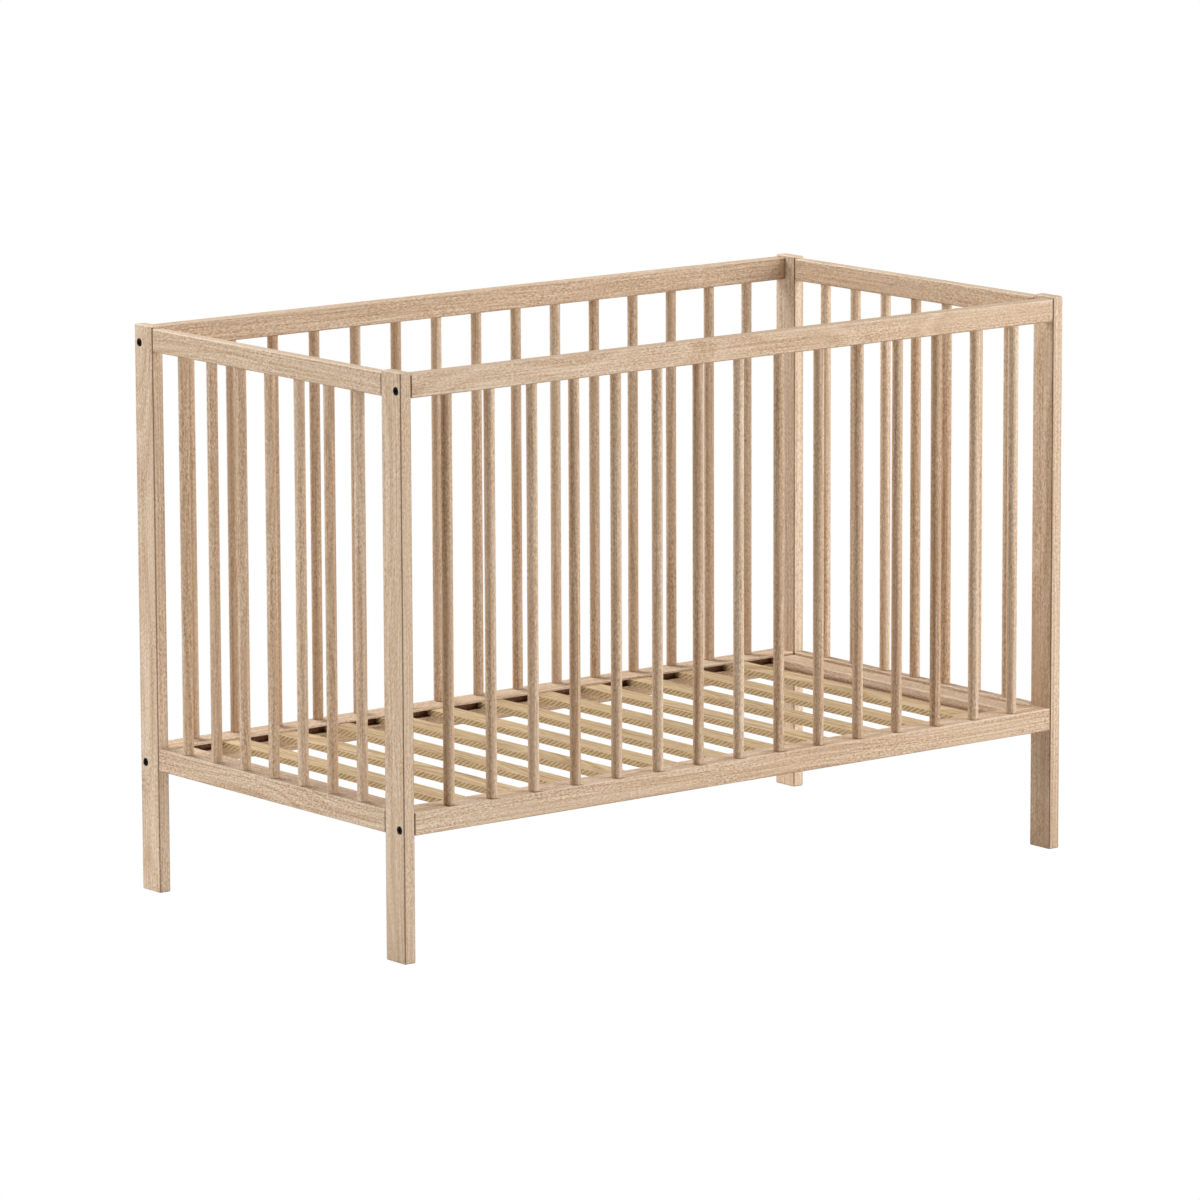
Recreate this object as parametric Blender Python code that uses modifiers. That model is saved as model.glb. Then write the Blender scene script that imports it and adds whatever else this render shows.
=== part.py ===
"""Baby crib with fixed sides: four posts, two barred ends, two barred sides and a slatted base.

Metres, +Z up. X runs along the long sides, Y from front to rear, and the origin is on the floor
in the middle of the crib. Left is -X, front is -Y.
"""

import math

import bmesh
import bpy
from mathutils import Matrix, Vector

# Overall sizes
crib_length = 1.240
crib_width = 0.650
post_height = 0.846

# Posts
post_thickness = 0.019
post_depth = 0.045
post_above_rail = 0.0035

# Rails of the sides and the ends
rail_height = 0.034
side_rail_thickness = 0.023
end_rail_thickness = 0.0185
lower_rail_bottom = 0.184
edge_radius = 0.002
edge_segments = 2

# Spindles, the round bars between the rails
spindle_diameter = 0.016
side_spindle_count = 15
end_spindle_count = 7
side_first_spindle = 0.0696
end_first_spindle = 0.0652
spindle_tenon_diameter = 0.010
spindle_tenon_length = 0.012

# Tenons of the end rails and pegs of the side rails
tenon_length = 0.018
tenon_height = 0.020
tenon_thickness = 0.009
peg_diameter = 0.008
peg_length = 0.010
peg_above_bolt = 0.0125

# Bolts through the posts and barrel nuts in the side rails
upper_bolt_height = 0.0108
lower_bolt_height = 0.0088
bolt_diameter = 0.006
bolt_head_diameter = 0.0116
bolt_head_height = 0.005
bolt_head_recess = 0.0005
bolt_head_edge = 0.0006
socket_across = 0.004
socket_depth = 0.0025
bolt_past_nut = 0.004
nut_diameter = 0.010
nut_length = 0.015
nut_inset = 0.028

# Base: grooved rails along the sides, a board at each end and slats across
base_rail_thickness = 0.022
groove_play = 0.0006
groove_depth = 0.010
groove_lip = 0.004
slat_count = 11
slat_width = 0.040
slat_thickness = 0.0094
end_board_width = 0.040
end_board_thickness = 0.022
end_board_setback = 0.0009
tongue_play = 0.0004

# Fits
clearance = 0.0003
end_play = 0.0005
round_sides = 12
smooth_below = math.radians(35)
merge_distance = 0.00001
widest_ease = 0.3
overlap = 0.004
overrun = 0.001

half_length = crib_length / 2
half_width = crib_width / 2
inner_half_length = half_length - post_thickness
inner_half_width = half_width - post_depth
upper_rail_top = post_height - post_above_rail
upper_rail_bottom = upper_rail_top - rail_height
lower_rail_top = lower_rail_bottom + rail_height
side_rail_y = half_width - side_rail_thickness / 2
end_rail_x = half_length - post_thickness / 2
spindle_bottom = lower_rail_top + clearance
spindle_top = upper_rail_bottom - clearance
socket_length = spindle_tenon_length + end_play
bolt_heights = {
    "upper": upper_rail_bottom + upper_bolt_height,
    "lower": lower_rail_bottom + lower_bolt_height,
}
nut_x = inner_half_length - clearance - nut_inset
groove_height = slat_thickness + groove_play
groove_top = lower_rail_top - groove_lip
groove_bottom = groove_top - groove_height
slat_z = (groove_top + groove_bottom) / 2
slat_top = slat_z + slat_thickness / 2
tongue_thickness = slat_thickness - tongue_play
base_rail_y = half_width - side_rail_thickness - clearance - base_rail_thickness / 2
base_inner_half_width = base_rail_y - base_rail_thickness / 2
slat_half_length = base_inner_half_width + groove_depth - end_play
end_board_x = inner_half_length - end_board_setback - end_board_width / 2

sides = {"front": -1, "rear": 1}
ends = {"left": -1, "right": 1}


def clear_scene():
    for obj in list(bpy.data.objects):
        bpy.data.objects.remove(obj, do_unlink=True)


def new_collection(name):
    collection = bpy.data.collections.new(name)
    bpy.context.scene.collection.children.link(collection)
    return collection


def make_material(name, colour, roughness, metallic=0.0):
    material = bpy.data.materials.new(name)
    material.use_nodes = True
    shader = material.node_tree.nodes["Principled BSDF"]
    shader.inputs["Base Color"].default_value = (*colour, 1.0)
    shader.inputs["Roughness"].default_value = roughness
    shader.inputs["Metallic"].default_value = metallic
    material.diffuse_color = (*colour, 1.0)
    return material


def make_materials():
    """Light beech for the frame, yellower pine for the slats, black and zinc-plated steel fittings."""
    return {
        "post": make_material("post_beech", (0.59, 0.43, 0.29), 0.5),
        "rail": make_material("rail_beech", (0.60, 0.44, 0.30), 0.5),
        "spindle": make_material("spindle_beech", (0.57, 0.42, 0.28), 0.5),
        "base": make_material("base_beech", (0.53, 0.38, 0.25), 0.55),
        "slat": make_material("slat_pine", (0.60, 0.44, 0.24), 0.6),
        "bolt": make_material("bolt_black_steel", (0.01, 0.01, 0.012), 0.4, 1.0),
        "nut": make_material("nut_zinc_steel", (0.62, 0.62, 0.60), 0.35, 1.0),
    }


def take_into(collection, obj):
    for old in list(obj.users_collection):
        old.objects.unlink(obj)
    collection.objects.link(obj)


def finish_part(obj, name, material):
    obj.name = name
    obj.data.name = name
    obj.data.materials.append(material)
    take_into(crib, obj)
    return obj


def finish_cutter(obj, name):
    obj.name = name
    obj.data.name = name
    obj.hide_render = True
    obj.display_type = "WIRE"
    take_into(cutters, obj)
    return obj


def box(size, centre):
    bpy.ops.mesh.primitive_cube_add(size=1.0, location=centre)
    obj = bpy.context.object
    obj.scale = size
    bpy.ops.object.transform_apply(location=False, rotation=False, scale=True)
    return obj


def eased_box(size, centre):
    """A box whose long edges and corners are rounded by the edge radius."""
    obj = box(size, centre)
    bevel = obj.modifiers.new("eased_edges", "BEVEL")
    bevel.width = min(edge_radius, widest_ease * min(size))
    bevel.segments = edge_segments
    return obj


def rods(diameter, stretches):
    """One mesh holding a round rod for each (start, end) pair of points."""
    mesh = bpy.data.meshes.new("rods")
    shape = bmesh.new()
    for start, end in stretches:
        start = Vector(start)
        end = Vector(end)
        along = end - start
        turn = Vector((0, 0, 1)).rotation_difference(along).to_matrix().to_4x4()
        bmesh.ops.create_cone(
            shape,
            cap_ends=True,
            segments=round_sides,
            radius1=diameter / 2,
            radius2=diameter / 2,
            depth=along.length,
            matrix=Matrix.Translation((start + end) / 2) @ turn,
        )
    shape.to_mesh(mesh)
    shape.free()
    obj = bpy.data.objects.new("rods", mesh)
    bpy.context.scene.collection.objects.link(obj)
    return obj


def turned(profile):
    """A turned shape about Z from its outline, which runs down the outer side from top to bottom."""
    mesh = bpy.data.meshes.new("turned")
    points = [(radius, 0.0, height) for radius, height in profile]
    edges = [(index, index + 1) for index in range(len(points) - 1)]
    mesh.from_pydata(points, edges, [])
    obj = bpy.data.objects.new("turned", mesh)
    bpy.context.scene.collection.objects.link(obj)
    screw = obj.modifiers.new("turning", "SCREW")
    screw.steps = round_sides
    screw.render_steps = round_sides
    screw.use_merge_vertices = True
    screw.merge_threshold = merge_distance
    return obj


def combine(obj, other, operation, name):
    modifier = obj.modifiers.new(name, "BOOLEAN")
    modifier.operation = operation
    modifier.object = finish_cutter(other, obj.name + "_" + name)


def smooth_round_faces(obj):
    obj.data.shade_smooth()
    obj.data.set_sharp_from_angle(angle=smooth_below)


def spindle_positions(count, first, inner_half_span):
    pitch = (2 * inner_half_span - 2 * first) / (count - 1)
    return [(index - (count - 1) / 2) * pitch for index in range(count)]


side_spindle_x = spindle_positions(side_spindle_count, side_first_spindle, inner_half_length)
end_spindle_y = spindle_positions(end_spindle_count, end_first_spindle, inner_half_width)


def rail_bores(rods_at, top, bottom):
    """Blind bores for the spindle tenons, opening at the face nearest the spindles."""
    return [((x, y, bottom), (x, y, top)) for x, y in rods_at]


# Posts


def build_post(end, side):
    x_sign = ends[end]
    y_sign = sides[side]
    centre = (x_sign * end_rail_x, y_sign * (half_width - post_depth / 2), post_height / 2)
    post = eased_box((post_thickness, post_depth, post_height), centre)
    finish_part(post, f"post_{side}_{end}", materials["post"])
    outer = x_sign * half_length
    inner = x_sign * inner_half_length
    bolt_y = y_sign * side_rail_y
    head_seat = outer - x_sign * (bolt_head_recess + bolt_head_height + clearance)
    through = []
    counterbores = []
    pegs = []
    for z in bolt_heights.values():
        through.append(((outer + x_sign * overrun, bolt_y, z), (inner - x_sign * overrun, bolt_y, z)))
        counterbores.append(((outer + x_sign * overrun, bolt_y, z), (head_seat, bolt_y, z)))
        peg_z = z + peg_above_bolt
        peg_end = inner + x_sign * (peg_length + end_play)
        pegs.append(((inner - x_sign * overrun, bolt_y, peg_z), (peg_end, bolt_y, peg_z)))
    combine(post, rods(bolt_diameter + 2 * clearance, through), "DIFFERENCE", "bolt_holes")
    combine(post, rods(bolt_head_diameter + 2 * clearance, counterbores), "DIFFERENCE", "head_recesses")
    combine(post, rods(peg_diameter + 2 * clearance, pegs), "DIFFERENCE", "peg_holes")
    mortise_depth = tenon_length + end_play
    for level, bottom in (("upper", upper_rail_bottom), ("lower", lower_rail_bottom)):
        size = (
            tenon_thickness + 2 * clearance,
            mortise_depth + overrun,
            tenon_height + 2 * clearance,
        )
        mortise_y = y_sign * (inner_half_width + (mortise_depth - overrun) / 2)
        mortise = box(size, (x_sign * end_rail_x, mortise_y, bottom + rail_height / 2))
        combine(post, mortise, "DIFFERENCE", level + "_mortise")


# End frames


def build_end_rail(end, level, bottom):
    x = ends[end] * end_rail_x
    half = inner_half_width - clearance
    z = bottom + rail_height / 2
    rail = eased_box((end_rail_thickness, 2 * half, rail_height), (x, 0, z))
    finish_part(rail, f"end_{level}_rail_{end}", materials["rail"])
    for side, sign in sides.items():
        reach = tenon_length - clearance
        size = (tenon_thickness, reach + clearance + overlap, tenon_height)
        centre_y = sign * (half + (reach + clearance - overlap) / 2)
        combine(rail, box(size, (x, centre_y, z)), "UNION", side + "_tenon")
    spots = [(x, y) for y in end_spindle_y]
    if level == "upper":
        bores = rail_bores(spots, bottom + socket_length, bottom - overrun)
    else:
        top = bottom + rail_height
        bores = rail_bores(spots, top + overrun, top - socket_length)
    combine(rail, rods(spindle_tenon_diameter + 2 * clearance, bores), "DIFFERENCE", "spindle_bores")


def spindle_profile(bottom, top):
    """Half outline of a spindle: a full round bar with a thinner tenon at each end."""
    bar = spindle_diameter / 2
    tenon = spindle_tenon_diameter / 2
    return [
        (0, top + spindle_tenon_length),
        (tenon, top + spindle_tenon_length),
        (tenon, top),
        (bar, top),
        (bar, bottom),
        (tenon, bottom),
        (tenon, bottom - spindle_tenon_length),
        (0, bottom - spindle_tenon_length),
    ]


def build_end_spindles(end):
    middle = (spindle_top + spindle_bottom) / 2
    for number, y in enumerate(end_spindle_y, start=1):
        spindle = turned(spindle_profile(spindle_bottom - middle, spindle_top - middle))
        spindle.location = (ends[end] * end_rail_x, y, middle)
        finish_part(spindle, f"end_spindle_{end}_{number}", materials["spindle"])
        smooth_round_faces(spindle)


# Side frames


def build_side_rail(side, level, bottom):
    """A long rail with a round peg at each end, bored for the two bolts and their barrel nuts."""
    y = sides[side] * side_rail_y
    half = inner_half_length - clearance
    bolt_z = bolt_heights[level]
    rail = eased_box((2 * half, side_rail_thickness, rail_height), (0, y, bottom + rail_height / 2))
    name = f"side_{level}_rail_{side}"
    if level == "lower":
        name = f"side_lower_rail_{side}_with_spindles"
    finish_part(rail, name, materials["rail"])
    pegs = []
    bolts = []
    nuts = []
    for sign in ends.values():
        peg_z = bolt_z + peg_above_bolt
        pegs.append(((sign * (half - overlap), y, peg_z), (sign * (half + peg_length), y, peg_z)))
        bolt_end = nut_x - nut_diameter / 2 - bolt_past_nut - end_play
        bolts.append(((sign * (half + overrun), y, bolt_z), (sign * bolt_end, y, bolt_z)))
        nut_top = bolt_z + nut_length / 2 + clearance
        nuts.append(((sign * nut_x, y, bottom - overrun), (sign * nut_x, y, nut_top)))
    combine(rail, rods(peg_diameter, pegs), "UNION", "end_pegs")
    combine(rail, rods(bolt_diameter + 2 * clearance, bolts), "DIFFERENCE", "bolt_bores")
    combine(rail, rods(nut_diameter + 2 * clearance, nuts), "DIFFERENCE", "nut_bores")
    return rail


def build_upper_side_rail(side):
    rail = build_side_rail(side, "upper", upper_rail_bottom)
    y = sides[side] * side_rail_y
    spots = [(x, y) for x in side_spindle_x]
    bores = rail_bores(spots, upper_rail_bottom + socket_length, upper_rail_bottom - overrun)
    combine(rail, rods(spindle_tenon_diameter + 2 * clearance, bores), "DIFFERENCE", "spindle_bores")


def build_lower_side_rail(side):
    """The lower rail with its spindles glued in, as one piece."""
    rail = build_side_rail(side, "lower", lower_rail_bottom)
    y = sides[side] * side_rail_y
    bars = []
    tenons = []
    for x in side_spindle_x:
        bars.append(((x, y, lower_rail_top - overlap), (x, y, spindle_top)))
        tenons.append(((x, y, spindle_top - overlap), (x, y, spindle_top + spindle_tenon_length)))
    combine(rail, rods(spindle_diameter, bars), "UNION", "spindles")
    combine(rail, rods(spindle_tenon_diameter, tenons), "UNION", "spindle_tenons")


# Fittings


def build_bolt(end, side, level):
    """A round-headed bolt with a hexagon socket, lying along X with its head outwards."""
    sign = ends[end]
    head_face = half_length - bolt_head_recess
    shank_start = head_face - bolt_head_height
    tip = nut_x - nut_diameter / 2 - bolt_past_nut
    head = bolt_head_diameter / 2
    shank = bolt_diameter / 2
    profile = [
        (0, head_face - tip),
        (head - bolt_head_edge, head_face - tip),
        (head, head_face - bolt_head_edge - tip),
        (head, shank_start - tip),
        (shank, shank_start - tip),
        (shank, 0),
        (0, 0),
    ]
    bolt = turned(profile)
    bolt.location = (sign * tip, sides[side] * side_rail_y, bolt_heights[level])
    bolt.rotation_euler = (0, sign * math.pi / 2, 0)
    finish_part(bolt, f"bolt_{level}_{side}_{end}", materials["bolt"])
    bpy.ops.mesh.primitive_cylinder_add(
        vertices=6,
        radius=socket_across / math.sqrt(3),
        depth=socket_depth + overrun,
        location=(
            sign * (head_face - (socket_depth - overrun) / 2),
            sides[side] * side_rail_y,
            bolt_heights[level],
        ),
        rotation=(0, math.pi / 2, 0),
    )
    combine(bolt, bpy.context.object, "DIFFERENCE", "socket")
    smooth_round_faces(bolt)


def build_nut(end, side, level):
    """A barrel nut standing in the rail, with a cross hole for the bolt."""
    x = ends[end] * nut_x
    y = sides[side] * side_rail_y
    z = bolt_heights[level]
    nut = rods(nut_diameter, [((0, 0, -nut_length / 2), (0, 0, nut_length / 2))])
    nut.location = (x, y, z)
    finish_part(nut, f"barrel_nut_{level}_{side}_{end}", materials["nut"])
    reach = nut_diameter / 2 + overrun
    hole = rods(bolt_diameter + 2 * clearance, [((x - reach, y, z), (x + reach, y, z))])
    combine(nut, hole, "DIFFERENCE", "bolt_hole")
    smooth_round_faces(nut)


# Base


def build_base_rail(side):
    """A rail glued inside the lower side rail, with a groove that takes the slat ends."""
    sign = sides[side]
    half = inner_half_length - clearance
    centre_z = (lower_rail_bottom + lower_rail_top) / 2
    size = (2 * half, base_rail_thickness, rail_height)
    rail = eased_box(size, (0, sign * base_rail_y, centre_z))
    finish_part(rail, f"base_rail_{side}", materials["base"])
    groove_size = (2 * half + 2 * overrun, groove_depth + overrun, groove_height)
    groove_y = sign * (base_inner_half_width + (groove_depth - overrun) / 2)
    groove = box(groove_size, (0, groove_y, (groove_top + groove_bottom) / 2))
    combine(rail, groove, "DIFFERENCE", "groove")


def build_end_board(end):
    """A board across the end of the base, thicker than a slat, with a tongue in each groove."""
    x = ends[end] * end_board_x
    half = base_inner_half_width - clearance
    centre_z = slat_top - end_board_thickness / 2
    board = eased_box((end_board_width, 2 * half, end_board_thickness), (x, 0, centre_z))
    finish_part(board, f"base_end_board_{end}", materials["base"])
    for side, sign in sides.items():
        tongue_width = end_board_width - 2 * edge_radius
        tongue_length = slat_half_length - half + overlap
        tongue_y = sign * (slat_half_length - tongue_length / 2)
        tongue = box((tongue_width, tongue_length, tongue_thickness), (x, tongue_y, slat_z))
        combine(board, tongue, "UNION", side + "_tongue")


def build_slats():
    span = 2 * end_board_x
    pitch = span / (slat_count + 1)
    for number in range(1, slat_count + 1):
        x = number * pitch - end_board_x
        slat = box((slat_width, 2 * slat_half_length, slat_thickness), (x, 0, slat_z))
        finish_part(slat, f"base_slat_{number:02d}", materials["slat"])


def build_crib():
    for end in ends:
        for side in sides:
            build_post(end, side)
        build_end_rail(end, "upper", upper_rail_bottom)
        build_end_rail(end, "lower", lower_rail_bottom)
        build_end_spindles(end)
        build_end_board(end)
    for side in sides:
        build_upper_side_rail(side)
        build_lower_side_rail(side)
        build_base_rail(side)
        for end in ends:
            for level in bolt_heights:
                build_bolt(end, side, level)
                build_nut(end, side, level)
    build_slats()


clear_scene()
crib = new_collection("baby_crib")
cutters = new_collection("cutters")
materials = make_materials()
build_crib()
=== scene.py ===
import math
import random

import bmesh
import bpy
from mathutils import Matrix, Vector


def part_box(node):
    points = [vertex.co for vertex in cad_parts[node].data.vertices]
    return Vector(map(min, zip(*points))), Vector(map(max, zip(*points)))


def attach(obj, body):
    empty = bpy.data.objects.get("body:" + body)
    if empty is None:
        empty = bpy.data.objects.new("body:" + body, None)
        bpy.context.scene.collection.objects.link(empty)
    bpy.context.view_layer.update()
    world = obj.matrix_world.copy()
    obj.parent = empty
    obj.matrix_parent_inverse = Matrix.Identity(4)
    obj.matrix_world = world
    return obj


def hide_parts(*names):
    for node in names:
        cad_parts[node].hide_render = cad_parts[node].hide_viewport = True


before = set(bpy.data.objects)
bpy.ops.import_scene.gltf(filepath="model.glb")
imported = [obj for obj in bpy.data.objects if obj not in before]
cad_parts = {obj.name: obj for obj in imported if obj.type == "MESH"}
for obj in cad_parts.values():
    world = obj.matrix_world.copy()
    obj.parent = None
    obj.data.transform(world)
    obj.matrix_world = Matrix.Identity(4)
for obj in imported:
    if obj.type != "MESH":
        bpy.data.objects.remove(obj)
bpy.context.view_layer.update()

print("loaded", len(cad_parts), "nodes")

cribEnds = {"left": -1, "right": 1}
cribSides = {"front": -1, "rear": 1}
mmPerMetre = 1000
workshop = {
    "near": 0.00001,            # places closer than this count as one
    "facing": 0.99,             # a normal this far along an axis faces that way
    "overshoot": 0.002,         # a cutter starts this far outside the face it enters
    "clearance": 0.0005,        # a hole ends this far past the tip of what it holds
    "root": 0.004,              # a tenon, peg or tongue starts this deep inside its own piece
    "mergeGap": 0.000002,
    "smoothDegrees": 40,
    "holeSides": 24,
}


def clearSelection():
    if bpy.context.mode != "OBJECT":
        bpy.ops.object.mode_set(mode="OBJECT")
    bpy.ops.object.select_all(action="DESELECT")


def makeActive(piece):
    clearSelection()
    piece.select_set(True)
    bpy.context.view_layer.objects.active = piece


def linearColour(hexCode):
    # sRGB hex to the linear values that shaders use
    channels = [int(hexCode[place:place + 2], 16) / 255 for place in (1, 3, 5)]
    return [c / 12.92 if c <= 0.04045 else ((c + 0.055) / 1.055) ** 2.4 for c in channels] + [1.0]


def addNode(tree, kind, settings=None, links=None):
    # settings go to the node's own options or to its unlinked sockets, links to its sockets;
    # a colour Mix has its factor at socket 0, its two colours at 6 and 7, and gives its result at 2
    node = tree.nodes.new("ShaderNode" + kind)
    for key, value in (settings or {}).items():
        if isinstance(key, str) and hasattr(node, key):
            setattr(node, key, value)
        else:
            node.inputs[key].default_value = value
    for key, source in (links or {}).items():
        tree.links.new(source, node.inputs[key])
    return node


def newMaterial(name):
    material = bpy.data.materials.new(name)
    material.use_nodes = True
    return material, material.node_tree, material.node_tree.nodes["Principled BSDF"]


def selectOnly(piece, kind, wanted):
    # edit mode, with only the faces or edges that wanted() picks
    makeActive(piece)
    bpy.ops.object.mode_set(mode="EDIT")
    bpy.ops.mesh.select_mode(type=kind)
    bpy.ops.mesh.select_all(action="DESELECT")
    shape = bmesh.from_edit_mesh(piece.data)
    for part in shape.faces if kind == "FACE" else shape.edges:
        part.select_set(wanted(part))
    bmesh.update_edit_mesh(piece.data)


def addBlock(name, corner, opposite):
    # a box between any two opposite corners
    clearSelection()
    low = Vector([min(pair) for pair in zip(corner, opposite)])
    high = Vector([max(pair) for pair in zip(corner, opposite)])
    bpy.ops.mesh.primitive_cube_add(size=1, location=(low + high) / 2)
    block = bpy.context.object
    block.name = block.data.name = name
    block.scale = high - low
    bpy.ops.object.transform_apply(location=True, rotation=True, scale=True)
    return block


def addRod(name, radius, start, end, sides=workshop["holeSides"]):
    # a round rod from one point to another along X, Y or Z
    clearSelection()
    start, end = Vector(start), Vector(end)
    along = end - start
    turn = Vector((0, 0, 1)).rotation_difference(along).to_euler()
    bpy.ops.mesh.primitive_cylinder_add(vertices=sides, radius=radius, depth=along.length,
                                        location=(start + end) / 2, rotation=turn)
    rod = bpy.context.object
    rod.name = rod.data.name = name
    bpy.ops.object.transform_apply(location=True, rotation=True, scale=True)
    return rod


def easeEdges(piece, radius, steps, wanted=lambda edge: True):
    selectOnly(piece, "EDGE", wanted)
    bpy.ops.mesh.bevel(offset=radius, offset_type="OFFSET", segments=steps, profile=0.5, affect="EDGES")
    bpy.ops.object.mode_set(mode="OBJECT")


def drawOutFace(piece, wanted, inset, move):
    # insets the wanted face and draws it out
    selectOnly(piece, "FACE", wanted)
    bpy.ops.mesh.inset(thickness=inset)
    bpy.ops.mesh.extrude_region_move(TRANSFORM_OT_translate={"value": move})
    bpy.ops.object.mode_set(mode="OBJECT")


def joinUp(pieces, name):
    makeActive(pieces[0])
    for piece in pieces[1:]:
        piece.select_set(True)
    bpy.ops.object.join()
    joined = bpy.context.object
    joined.name = joined.data.name = name
    return joined


def combine(piece, other, operation):
    makeActive(piece)
    boolean = piece.modifiers.new("combine", "BOOLEAN")
    boolean.operation = operation
    boolean.solver = "EXACT"
    boolean.object = other
    bpy.ops.object.modifier_apply(modifier=boolean.name)
    bpy.data.objects.remove(other)


def cutAway(piece, cutter):
    combine(piece, cutter, "DIFFERENCE")


def fuseTo(piece, other):
    combine(piece, other, "UNION")


def copyPiece(piece, name, move, turnZ=0.0):
    # a copy with a mesh of its own, put in place in that mesh
    copy = piece.copy()
    copy.data = piece.data.copy()
    copy.name = copy.data.name = name
    copy.data.transform(Matrix.Translation(Vector(move)) @ Matrix.Rotation(turnZ, 4, "Z"))
    bpy.context.scene.collection.objects.link(copy)
    return copy


def tidyMesh(piece, smoothDegrees=workshop["smoothDegrees"]):
    makeActive(piece)
    bpy.ops.object.mode_set(mode="EDIT")
    bpy.ops.mesh.select_mode(type="VERT")
    bpy.ops.mesh.select_all(action="SELECT")
    bpy.ops.mesh.remove_doubles(threshold=workshop["mergeGap"])
    bpy.ops.mesh.normals_make_consistent(inside=False)
    bpy.ops.object.mode_set(mode="OBJECT")
    bpy.ops.object.shade_smooth_by_angle(angle=math.radians(smoothDegrees))
    # broad faces stay flat to the eye, so only the eased edges curve
    weighting = piece.modifiers.new("weighting", "WEIGHTED_NORMAL")
    weighting.keep_sharp = True
    bpy.ops.object.modifier_apply(modifier=weighting.name)


def finishPiece(piece, nodes, material):
    piece.data.materials.clear()
    piece.data.materials.append(material)
    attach(piece, "root")
    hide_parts(*nodes)


logSizes = {
    "fromPith": (0.05, 0.16),   # how far out from the pith a piece is cut
    "along": (-20.0, 20.0),     # and where along the grain, far enough apart for no two to look alike
    "pick": 11,                 # another number cuts every piece from another place
}
timberPicker = random.Random(logSizes["pick"])


def layGrain(piece, along, tone=0.0, figure=1.0):
    # each piece carries its own place in the log: two values out from the pith and one along the grain
    order = {"X": (1, 2, 0), "Y": (0, 2, 1), "Z": (0, 1, 2)}[along]
    low, high = Vector(piece.bound_box[0]), Vector(piece.bound_box[6])    # opposite corners
    middle = (low + high) / 2
    outward = timberPicker.uniform(*logSizes["fromPith"])
    turn = timberPicker.uniform(0, math.tau)
    cut = (outward * math.cos(turn), outward * math.sin(turn), timberPicker.uniform(*logSizes["along"]))
    places = []
    for vertex in piece.data.vertices:
        places.extend(vertex.co[axis] - middle[axis] + cut[slot] for slot, axis in enumerate(order))
    grain = piece.data.attributes.new("grain", "FLOAT_VECTOR", "POINT")
    grain.data.foreach_set("vector", places)
    # and how much darker or paler than the rest its timber is, and how bold its figure
    for name, value in (("tone", tone), ("figure", figure)):
        share = piece.data.attributes.new(name, "FLOAT", "POINT")
        share.data.foreach_set("value", [value] * len(piece.data.vertices))


edgePainting = {
    "flatFace": 0.999,      # a face is flat when its normal is this far along an axis
    "turned": 0.2,          # and a rounded edge faces up or down when its normal leans this far
    "rimDepth": 0.002,      # how far into a bore its painted highlight ring may reach
    # how much paler the painted highlight ring is
    "rimHighlightTone": -0.6,
}


def paintEdgeLight(piece, upward, downward, sideways):
    # painted shade and highlight on the rounded edges, by the way they face: 0 on the flat faces,
    # more painted shade where they face down or sideways, and less than 0 where they face up, which paints
    # a pale highlight into the tone
    flat = set()
    for face in piece.data.polygons:
        if max(abs(part) for part in face.normal) > edgePainting["flatFace"]:
            flat.update(face.vertices)
    edgeLights = []
    for vertex in piece.data.vertices:
        depth = sideways
        if vertex.normal.z > edgePainting["turned"]:
            depth = upward
        elif vertex.normal.z < -edgePainting["turned"]:
            depth = downward
        edgeLights.append(0.0 if vertex.index in flat else depth)
    shade = piece.data.attributes["tone"].data
    # an edge that faces up gets its painted highlight in the tone
    for vertex, depth in enumerate(edgeLights):
        shade[vertex].value += min(depth, 0.0)
    edgeShade = piece.data.attributes.new("edgeShade", "FLOAT", "POINT")
    edgeShade.data.foreach_set("value", edgeLights)


def paintRimHighlights(piece, face, spots, radius):
    # a painted highlight: the eased rim of a bore shows as a fine pale ring
    shade, edgeShade = piece.data.attributes["tone"].data, piece.data.attributes["edgeShade"].data
    for vertex in piece.data.vertices:
        if workshop["near"] < abs(vertex.co.x - face) < edgePainting["rimDepth"]:
            for y, z in spots:
                if math.hypot(vertex.co.y - y, vertex.co.z - z) < radius:
                    shade[vertex.index].value = edgePainting["rimHighlightTone"]
                    edgeShade[vertex.index].value = 0.0


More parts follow.
